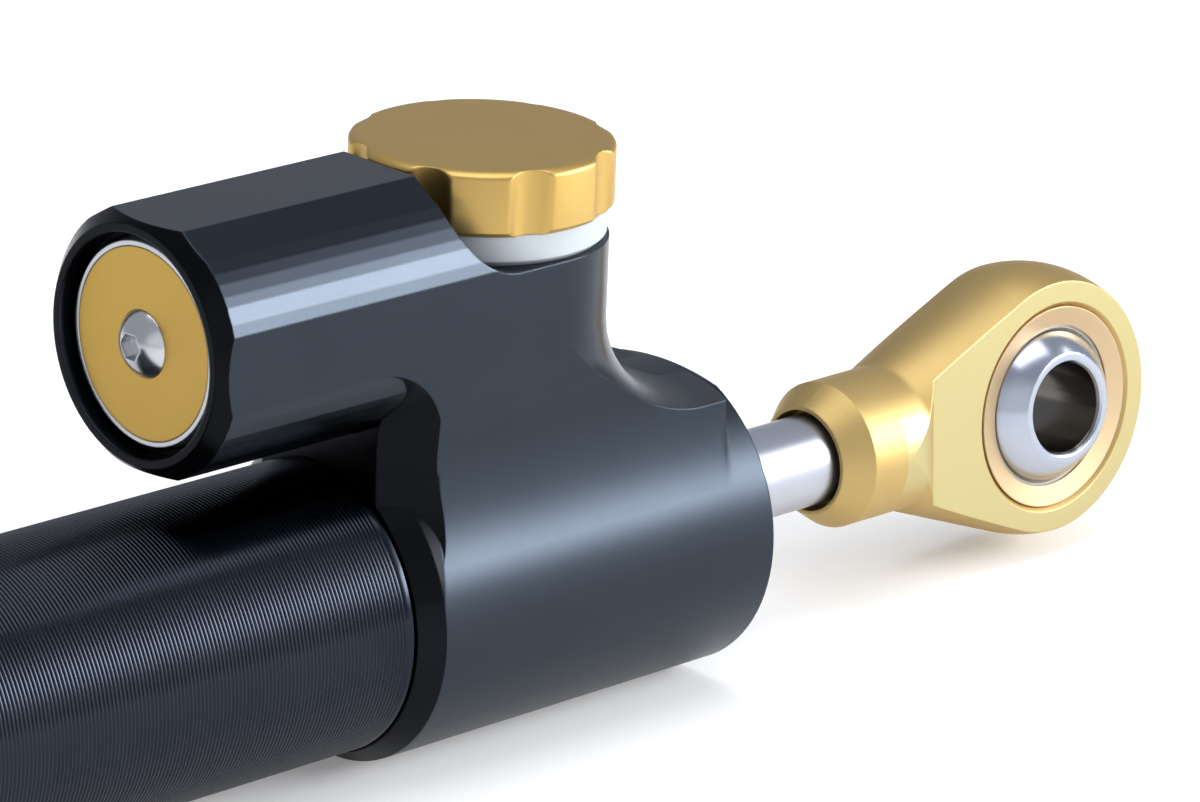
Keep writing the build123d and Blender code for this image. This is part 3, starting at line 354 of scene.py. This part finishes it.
chrome = machined("hard_chrome_plate", "#b9bec8", "#c6cad2", 0.3, dent_mm=0.0001, grained=0.03)
along = put(chrome.tree, "ShaderNodeSeparateXYZ", {0: chrome.points})
polish = put(
    chrome.tree, "ShaderNodeTexNoise", {"W": along.outputs["X"], "Scale": 1 / POLISH_MM, "Detail": 2.0},
    noise_dimensions="1D",
)
chrome.tree.links.new(polish.outputs["Fac"], chrome.rough.inputs[0])
chrome.tree.links.new(polish.outputs["Fac"], chrome.bump.inputs["Height"])
dress("hard_chrome", chrome.material)

steel = machined("ground_ball_steel", "#b6bcca", "#c0c6d2", 0.2, edge_mm=0.25, dent_mm=0.0002, grained=0.04)
# Painted shade: inside the bore the steel's colour is mixed to a dark brown grey.
arm = put(steel.tree, "ShaderNodeVectorMath", {0: steel.points, 1: BORE_AXIS}, operation="CROSS_PRODUCT")
distance = put(steel.tree, "ShaderNodeVectorMath", {0: arm.outputs[0]}, operation="LENGTH")
shaded_bore = put(steel.tree, "ShaderNodeMath", {0: distance.outputs["Value"], 1: BORE_EDGE_MM}, operation="LESS_THAN")
steel_and_painted_bore_shade = put(
    steel.tree, "ShaderNodeMix",
    {"Factor": shaded_bore.outputs[0], "A": steel.tint.outputs["Result"], "B": linear("#77726c")}, data_type="RGBA",
)
steel.tree.links.new(steel_and_painted_bore_shade.outputs["Result"], steel.shader.inputs["Base Color"])
dress("ball_steel", steel.material)

dress("race_alloy", machined("turned_race_alloy", "#c4ab86", "#cdb693", 0.5, edge_mm=0.2).material)
bright = machined("polished_zinc_plated_steel", "#c9cbce", "#d6d7d9", 0.2, edge_mm=0.2, dent_mm=0.0002, grained=0.05)
dress("bright_steel", bright.material)
dress("tool_steel", machined("hardened_tool_steel", "#8f9298", "#9b9ea4", 0.3).material)
dress("inner_alloy", machined("honed_bare_aluminium", "#b4b7bb", "#c0c3c7", 0.34).material)
dress("guide_bronze", machined("turned_guide_bronze", "#a17a48", "#b08a55", 0.34).material)

# %% [markdown]
# ## Plastics and rubber
#
# The washer under the knob and the liner of the bearing are nylon and slip plastic: not metals, a little
# cloudy, with the soft sheen of a moulded skin. Seals are nitrile rubber, nearly black and matt. The same
# recipe serves with metallic at zero, because these skins too have a grain and a drift of tint.

# %% Plastics and rubber
nylon = machined("moulded_white_nylon", "#bac2c6", "#c4cbcf", 0.36, edge_mm=0.25, metallic=0.0)
nylon.shader.inputs["Subsurface Weight"].default_value = 0.15
nylon.shader.inputs["Subsurface Radius"].default_value = (1.0, 0.9, 0.8)
nylon.shader.inputs["Subsurface Scale"].default_value = 0.6 * MM
dress("white_nylon", nylon.material)
dress("slip_plastic", machined("filled_slip_plastic", "#b9b3a4", "#c6c0b1", 0.4, metallic=0.0).material)
dress("seal_rubber", machined("nitrile_seal_rubber", "#141517", "#1c1d20", 0.6, dent_mm=0.004, metallic=0.0).material)

# %% [markdown]
# ## Skins built from rings
#
# The pieces that are built here are all stacks of rings: points of one ring are joined to the points of the
# next. One function makes such a skin and marks an edge as crisp where its two faces meet at a wide angle,
# so the same outline can have round and sharp places. Another spins an outline round a line along the rod.

# %% A skin over a stack of rings
CRISP_ANGLE = radians(35)


def skin(name, rings, closed, material, body):
    """A mesh over rings of equally many (x, y, z) points in mm. closed joins the last ring to the first."""
    count = len(rings[0])
    verts = [(x * MM, y * MM, z * MM) for ring in rings for x, y, z in ring]
    faces = []
    for row in range(len(rings) if closed else len(rings) - 1):
        here, there = row * count, (row + 1) % len(rings) * count
        for i in range(count):
            j = (i + 1) % count
            faces.append((here + i, here + j, there + j, there + i))
    mesh = bpy.data.meshes.new(name)
    mesh.from_pydata(verts, [], faces)
    bm = bmesh.new()
    bm.from_mesh(mesh)
    bmesh.ops.remove_doubles(bm, verts=bm.verts, dist=0.0001 * MM)
    bmesh.ops.recalc_face_normals(bm, faces=bm.faces)
    for face in bm.faces:
        face.smooth = True
    for edge in bm.edges:
        edge.smooth = edge.calc_face_angle(0) < CRISP_ANGLE
    bm.to_mesh(mesh)
    bm.free()
    mesh.materials.append(material)
    made = bpy.data.objects.new(name, mesh)
    bpy.context.scene.collection.objects.link(made)
    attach(made, body)
    print(name, "faces:", len(mesh.polygons))
    return made


def spun(outline, steps, height_mm):
    """Rings of an outline of (x, radius) points in mm, spun round a line along x at a height."""
    spokes = [(cos(2 * pi * k / steps), sin(2 * pi * k / steps)) for k in range(steps)]
    return [[(x, r * c, height_mm + r * s) for c, s in spokes] for x, r in outline]


# %% [markdown]
# ## The grooved tube
#
# The damper tube is turned with a fine round-nosed tool at a steady feed, which leaves a groove about every
# 0.39 mm. The grooves are what makes its highlight break into fine bright lines. A bump texture could fake
# them, but they would be lost in the shape of the model, so the tube's outline is drawn with a small crest
# for each turn of the tool and spun round the rod's axis.

# %% Tube
TUBE_RADIUS_MM = 12.3
TUBE_BORE_MM = 10.9
GROOVE_PITCH_MM = 0.391
GROOVE_DEPTH_MM = 0.06
GROOVE_STEPS = 5
TUBE_SEGMENTS = 192
SPIGOT_RADIUS_MM = 11.65
SPIGOT_LENGTH_MM = 11.0
END_LAND_MM = 0.5
END_CHAMFER_MM = 0.15
tube_low, tube_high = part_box("damper_tube")
tube_back_mm = tube_low.x / MM
spigot_front_mm = tube_high.x / MM
tube_front_mm = spigot_front_mm - SPIGOT_LENGTH_MM
tube_black = machined("black_anodised_turned_tube", "#282c34", "#2f343d", 0.2, edge_mm=0.02, dent_mm=0.0005)

groove_start = tube_back_mm + END_LAND_MM
turns = int((tube_front_mm - END_LAND_MM - groove_start) / GROOVE_PITCH_MM)
outline = [(spigot_front_mm, TUBE_BORE_MM), (tube_back_mm, TUBE_BORE_MM)]
outline += [(tube_back_mm, TUBE_RADIUS_MM - END_CHAMFER_MM), (tube_back_mm + END_CHAMFER_MM, TUBE_RADIUS_MM)]
for turn in range(turns):
    for step in range(GROOVE_STEPS):
        share = step / GROOVE_STEPS
        drop = GROOVE_DEPTH_MM * (1 - (2 * share - 1) ** 2)
        outline.append((groove_start + (turn + share) * GROOVE_PITCH_MM, TUBE_RADIUS_MM - drop))
outline.append((groove_start + turns * GROOVE_PITCH_MM, TUBE_RADIUS_MM))
outline += [(tube_front_mm - END_CHAMFER_MM, TUBE_RADIUS_MM), (tube_front_mm, TUBE_RADIUS_MM - END_CHAMFER_MM)]
outline += [(tube_front_mm, SPIGOT_RADIUS_MM), (spigot_front_mm, SPIGOT_RADIUS_MM)]
tube = skin("tube_grooved", spun(outline, TUBE_SEGMENTS, 0.0), True, tube_black.material, "barrel")
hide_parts("damper_tube")

# %% [markdown]
# ## The adjuster knob
#
# The knob is turned, and eight shallow finger flutes are milled into its side with a cutter that stands
# upright. Its top edge is rounded over and polished, and the lips of the flutes are dulled, so both draw a
# fine line of light. The flutes could be cut with booleans, but then the rounded top would not follow them.
# Here the radius at each angle is worked out instead, from the circle of the cutter, and averaged over its
# neighbours, which rounds the lips. The flutes are cut into the turned shape, rounded top and all, so each
# ring takes whichever is less, the turned radius or the cutter's.

# %% Knob outline
KNOB_RADIUS_MM = 10.95
KNOB_HEIGHT_MM = 5.43
KNOB_FLUTES = 8
FLUTE_DEPTH_MM = 0.75
FLUTE_RADIUS_MM = 2.78
FLUTE_START = radians(24.0)
KNOB_STEPS = 480
LIP_STEPS = 2


def knob_reach(angle):
    """Distance in mm from the knob's axis to its outline, before the lips are dulled."""
    spacing = 2 * pi / KNOB_FLUTES
    off = (angle - FLUTE_START + spacing / 2) % spacing - spacing / 2
    cutter = KNOB_RADIUS_MM - FLUTE_DEPTH_MM + FLUTE_RADIUS_MM
    left = FLUTE_RADIUS_MM**2 - (cutter * sin(off)) ** 2
    return KNOB_RADIUS_MM if left <= 0 else min(KNOB_RADIUS_MM, cutter * cos(off) - sqrt(left))


knob_angles = [2 * pi * k / KNOB_STEPS for k in range(KNOB_STEPS)]
raw = [knob_reach(angle) for angle in knob_angles]
near = range(-LIP_STEPS, LIP_STEPS + 1)
knob_outline = [sum(raw[(k + n) % KNOB_STEPS] for n in near) / len(near) for k in range(KNOB_STEPS)]
print("knob outline:", KNOB_STEPS, "points, least radius", round(min(knob_outline), 2), "mm")

# %% Knob mesh
HUB_RADIUS_MM = 6.9
SPINDLE_BORE_MM = 1.92
SPINDLE_GRIP_MM = 3.0
FOOT_CHAMFER_MM = 0.4
TOP_ROUND_WIDTH_MM = 1.1
TOP_ROUND_DROP_MM = 0.6
TOP_ROUND_STEPS = 7
KNOB_TOP_FLAT_MM = 4.0
knob_low, knob_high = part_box("adjuster_knob")
knob_x_mm = (knob_low.x + knob_high.x) / 2 / MM
knob_top_mm = knob_high.z / MM
hub_foot_mm = knob_low.z / MM
knob_foot_mm = knob_top_mm - KNOB_HEIGHT_MM


def round_ring(radius, z):
    """One round ring of the knob's hub, bore or top."""
    return [(knob_x_mm + radius * cos(angle), radius * sin(angle), z) for angle in knob_angles]


def fluted_ring(inset, z):
    """One ring of the knob's side: the turned radius, less the inset of its edge, cut by the flutes."""
    turned = KNOB_RADIUS_MM - inset
    cut = [min(turned, r) for r in knob_outline]
    return [(knob_x_mm + r * cos(angle), r * sin(angle), z) for angle, r in zip(knob_angles, cut)]


rings = [round_ring(0, hub_foot_mm + SPINDLE_GRIP_MM), round_ring(SPINDLE_BORE_MM, hub_foot_mm + SPINDLE_GRIP_MM)]
rings += [round_ring(SPINDLE_BORE_MM, hub_foot_mm), round_ring(HUB_RADIUS_MM, hub_foot_mm)]
rings += [round_ring(HUB_RADIUS_MM, knob_foot_mm), fluted_ring(FOOT_CHAMFER_MM, knob_foot_mm)]
rings += [fluted_ring(0, knob_foot_mm + FOOT_CHAMFER_MM)]
for step in range(TOP_ROUND_STEPS + 1):
    turn = pi / 2 * step / TOP_ROUND_STEPS
    rings.append(fluted_ring(TOP_ROUND_WIDTH_MM * (1 - cos(turn)), knob_top_mm - TOP_ROUND_DROP_MM * (1 - sin(turn))))
rings += [round_ring(KNOB_TOP_FLAT_MM, knob_top_mm), round_ring(0, knob_top_mm)]
knob = skin("knob_fluted", rings, False, gold.material, "knob")
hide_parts("adjuster_knob")

# %% [markdown]
# ## The cap's ring
#
# A bright steel ring holds the cap in its bore. The outer half of its face slopes back towards the bore, so
# it shows as a thin line of light round the gold disc. It is five corners spun round the valve's axis.

# %% Cap ring
RING_WIDTH_MM = 0.78
RING_FLAT_MM = 0.4
RING_BACK_SLOPE_MM = 0.5
RING_STEPS = 160
ring_low, ring_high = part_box("cap_ring")
ring_face, ring_back = ring_low.x / MM, ring_high.x / MM
ring_outer = (ring_high.y - ring_low.y) / 2 / MM
ring_inner = ring_outer - RING_WIDTH_MM
outline = [(ring_face, ring_inner), (ring_face, ring_inner + RING_FLAT_MM)]
outline += [(ring_face + RING_BACK_SLOPE_MM, ring_outer), (ring_back, ring_outer), (ring_back, ring_inner)]
cap_ring = skin("cap_ring_sloped", spun(outline, RING_STEPS, valve_height_mm), True, bright.material, "barrel")
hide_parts("cap_ring")

# %% [markdown]
# ## The two springs
#
# A small spring presses the click ball into the knob's dimples, and a wider one holds the valve's plunger on
# its seat. Each is a round wire wound as a helix of even pitch, in the place of the CAD model's plain
# sleeve.

# %% Springs
WIRE_STEPS = 10
STEPS_A_TURN = 24
CLICK_WIRE_MM = 0.15
CLICK_TURNS = 7
VALVE_WIRE_MM = 0.4
VALVE_TURNS = 6


def coil(name, start, end, mean_radius, wire_radius, turns, body):
    """A coil spring from one point to another in mm, wound round the line between them."""
    axis = (end - start).normalized()
    side = axis.orthogonal().normalized()
    other = axis.cross(side)
    rise = (end - start).length - 2 * wire_radius
    around = [2 * pi * k / WIRE_STEPS for k in range(WIRE_STEPS)]
    middles, rings = [], []
    for step in range(turns * STEPS_A_TURN + 1):
        share = step / (turns * STEPS_A_TURN)
        angle = 2 * pi * turns * share
        outward = side * cos(angle) + other * sin(angle)
        middle = start + axis * (wire_radius + rise * share) + outward * mean_radius
        middles.append(tuple(middle))
        rings.append([tuple(middle + (outward * cos(a) + axis * sin(a)) * wire_radius) for a in around])
    first, last = [middles[0]] * WIRE_STEPS, [middles[-1]] * WIRE_STEPS
    return skin(name, [first, *rings, last], False, bright.material, body)


def spring_for(name, node, way, wire_radius, turns):
    """A coil in the place of a CAD sleeve. way points from the end that stays put to the end that moves."""
    low, high = (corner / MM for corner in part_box(node))
    way = Vector(way)
    middle, half_size = (low + high) / 2, (high - low) / 2
    reach = abs(half_size.dot(way))
    width = (half_size - way * half_size.dot(way)).length / sqrt(2)
    fixed, moving = middle - way * reach, middle + way * reach
    made = coil(name, fixed, moving, width - wire_radius, wire_radius, turns, "barrel")
    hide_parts(node)
    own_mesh(made)


spring_for("click_coil", "click_spring", (0, 0, 1), CLICK_WIRE_MM, CLICK_TURNS)
spring_for("valve_coil", "valve_spring", (1, 0, 0), VALVE_WIRE_MM, VALVE_TURNS)

# %% [markdown]
# ## Floor and light
#
# The damper lies on a white laminate table. A big softbox stands to the front right and draws the bright
# band along the barrel, a second, dimmer one above it fades that band upwards, a third below it fades it
# downwards, and a fourth hangs overhead and lights the table. The rest of the studio is a dim blue grey,
# with a pale wall behind the photographer, which the ball and the screw mirror. A camera sees the table a
# little brighter than the metal does, as in a photograph that is exposed for a pure white ground.

# %% Floor
FLOOR_GAP_MM = 0.02
FLOOR_SIZE = 8.0
FLOOR_LIFT_SEEN = 0.19
FLOOR_LIFT_MIRRORED = 0.05
floor_height = cad_box[0].z - FLOOR_GAP_MM * MM
half = FLOOR_SIZE / 2
corners = [(-half, -half), (half, -half), (half, half), (-half, half)]
floor_mesh = bpy.data.meshes.new("floor")
floor_mesh.from_pydata([(x, y, floor_height) for x, y in corners], [], [(0, 1, 2, 3)])
floor = bpy.data.objects.new("floor", floor_mesh)
bpy.context.scene.collection.objects.link(floor)
white = bpy.data.materials.new("white_laminate")
white.use_nodes = True
tree = white.node_tree
shader = tree.nodes["Principled BSDF"]
shader.inputs["Base Color"].default_value = linear("#f4f4f4")
shader.inputs["Roughness"].default_value = 0.5
shader.inputs["Specular IOR Level"].default_value = 0.0
path = put(tree, "ShaderNodeLightPath")
mirrored = put(
    tree, "ShaderNodeMath", {0: path.outputs["Is Glossy Ray"], 1: path.outputs["Is Transmission Ray"]},
    operation="ADD",
)
mirrored = put(tree, "ShaderNodeMath", {0: mirrored.outputs[0], 1: FLOOR_LIFT_MIRRORED}, operation="MULTIPLY")
lift = put(
    tree, "ShaderNodeMath", {0: path.outputs["Is Camera Ray"], 1: FLOOR_LIFT_SEEN, 2: mirrored.outputs[0]},
    operation="MULTIPLY_ADD",
)
shader.inputs["Emission Color"].default_value = (1, 1, 1, 1)
tree.links.new(lift.outputs[0], shader.inputs["Emission Strength"])
floor_mesh.materials.append(white)

# %% World
WALL_FROM = 0.7
WALL_TO = 0.95
WALL_DIRECTION = Vector((-0.7, -0.7, 0.05)).normalized()
world = bpy.data.worlds.new("studio")
bpy.context.scene.world = world
world.use_nodes = True
tree = world.node_tree
coords = put(tree, "ShaderNodeTexCoord")
toward = put(
    tree, "ShaderNodeVectorMath", {0: coords.outputs["Generated"], 1: WALL_DIRECTION}, operation="DOT_PRODUCT",
)
wall = put(
    tree, "ShaderNodeMapRange", {"Value": toward.outputs["Value"], "From Min": WALL_FROM, "From Max": WALL_TO},
    interpolation_type="SMOOTHSTEP",
)
room = put(
    tree, "ShaderNodeMix",
    {"Factor": wall.outputs["Result"], "A": linear("#a8acb6"), "B": linear("#e8eaee")}, data_type="RGBA",
)
tree.links.new(room.outputs["Result"], tree.nodes["Background"].inputs["Color"])

# %% Lamps
LIT_POINT = Vector((-60.0, 0.0, 12.0)) * MM
LAMP_DISTANCE = 0.9


def softbox(name, direction, width, height, radiance):
    """An area lamp that faces the damper. radiance is how bright it looks, where the floor is about 1."""
    lamp = bpy.data.lights.new(name, "AREA")
    lamp.shape = "RECTANGLE"
    lamp.size = width
    lamp.size_y = height
    lamp.energy = radiance * pi * width * height
    made = bpy.data.objects.new(name, lamp)
    bpy.context.scene.collection.objects.link(made)
    towards = Vector(direction).normalized()
    made.location = LIT_POINT + towards * LAMP_DISTANCE
    made.rotation_euler = towards.to_track_quat("Z", "Y").to_euler()
    print(name, "at", [round(v, 2) for v in made.location])


softbox("key_softbox", (0.662, -0.665, 0.345), 0.6, 0.26, 14.5)
softbox("upper_softbox", (0.662, -0.51, 0.54), 0.6, 0.3, 2.6)
softbox("lower_softbox", (0.662, -0.74, 0.13), 0.6, 0.12, 1.8)
softbox("overhead_softbox", (0.0, 0.0, 1.0), 0.8, 0.8, 2.1)

bpy.context.scene.view_settings.view_transform = "Standard"
